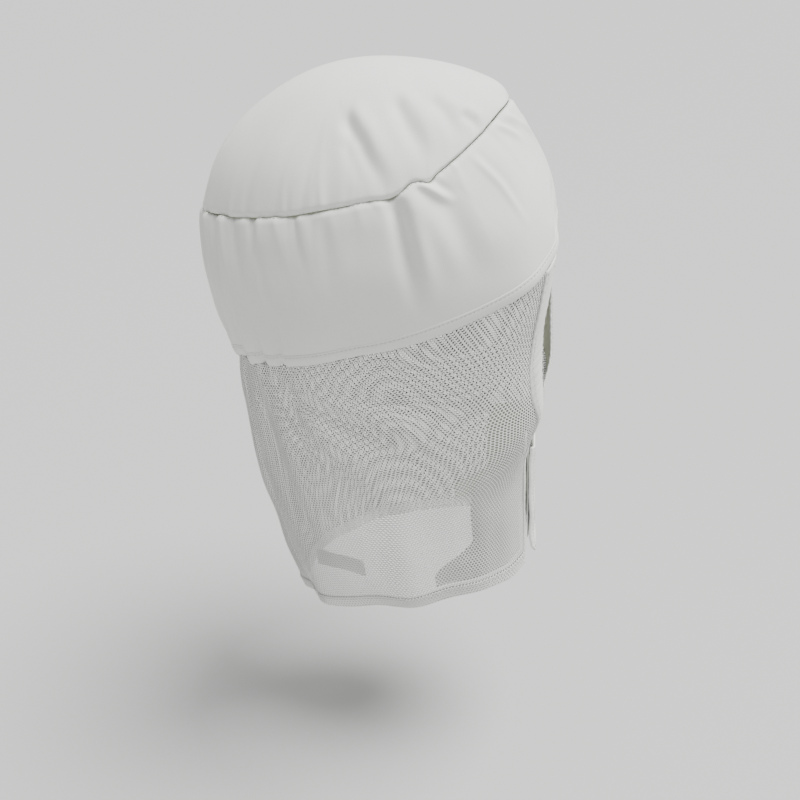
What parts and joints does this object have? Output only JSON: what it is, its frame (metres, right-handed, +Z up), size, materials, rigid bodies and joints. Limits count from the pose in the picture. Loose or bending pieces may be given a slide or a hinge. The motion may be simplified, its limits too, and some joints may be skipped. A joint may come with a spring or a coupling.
{
  "type": "beekeeping hood",
  "caption": "Cloth hood with a gathered band and a net shawl that covers hair, neck and cheeks and closes under the chin with a hook-and-loop placket.",
  "frame": {"origin": "top of the wearer's head, where the inside of the crown rests on it", "axes": "+Z up along the wearer's body, -Y out of the face opening, +X to the wearer's left"},
  "size_m": [0.1752, 0.2224, 0.3637],
  "materials": {
    "white_poplin": "plain-weave polyester-cotton poplin, slightly creased",
    "lining_cloth": "reverse of the poplin, in a pale greenish grey",
    "net_knit": "white warp-knit polyester net with small round holes",
    "elastic_knit": "white woven elastic",
    "sewing_thread": "white spun polyester thread",
    "hook_tape_nylon": "pale nylon hooks on a woven tape",
    "loop_tape_pile": "soft nylon loop pile",
    "label_satin": "blank white satin label"
  },
  "bodies": {
    "hood": {"crown_panel": "white_poplin", "side_band": "white_poplin", "band_edge_binding": "white_poplin", "crown_seam_thread": "sewing_thread", "crown_seam_binding": "lining_cloth", "brow_sweatband": "lining_cloth", "nape_elastic": "elastic_knit", "nape_casing": "lining_cloth", "shawl_net": "net_knit", "shawl_hem": "net_knit", "right_face_binding": "white_poplin", "left_face_binding": "white_poplin", "right_placket": "white_poplin", "loop_tape": "loop_tape_pile", "right_front_facing": "lining_cloth", "left_front_facing": "lining_cloth"},
    "closing_flap": {"left_placket": "white_poplin", "hook_tape": "hook_tape_nylon"},
    "label": {"care_label": "label_satin"}
  },
  "joints": [
    {"name": "placket_hinge", "type": "hinge", "parent": "hood", "child": "closing_flap", "pos_m": [0.0264, -0.10384, -0.27955], "axis": [0, 0.059, 0.9983], "range_deg": [0, 150]},
    {"name": "label_hinge", "type": "hinge", "parent": "hood", "child": "label", "pos_m": [-0.05572, 0.02226, -0.30557], "axis": [-0.24, -0.9708, 0], "range_deg": [0, 75]}
  ]
}
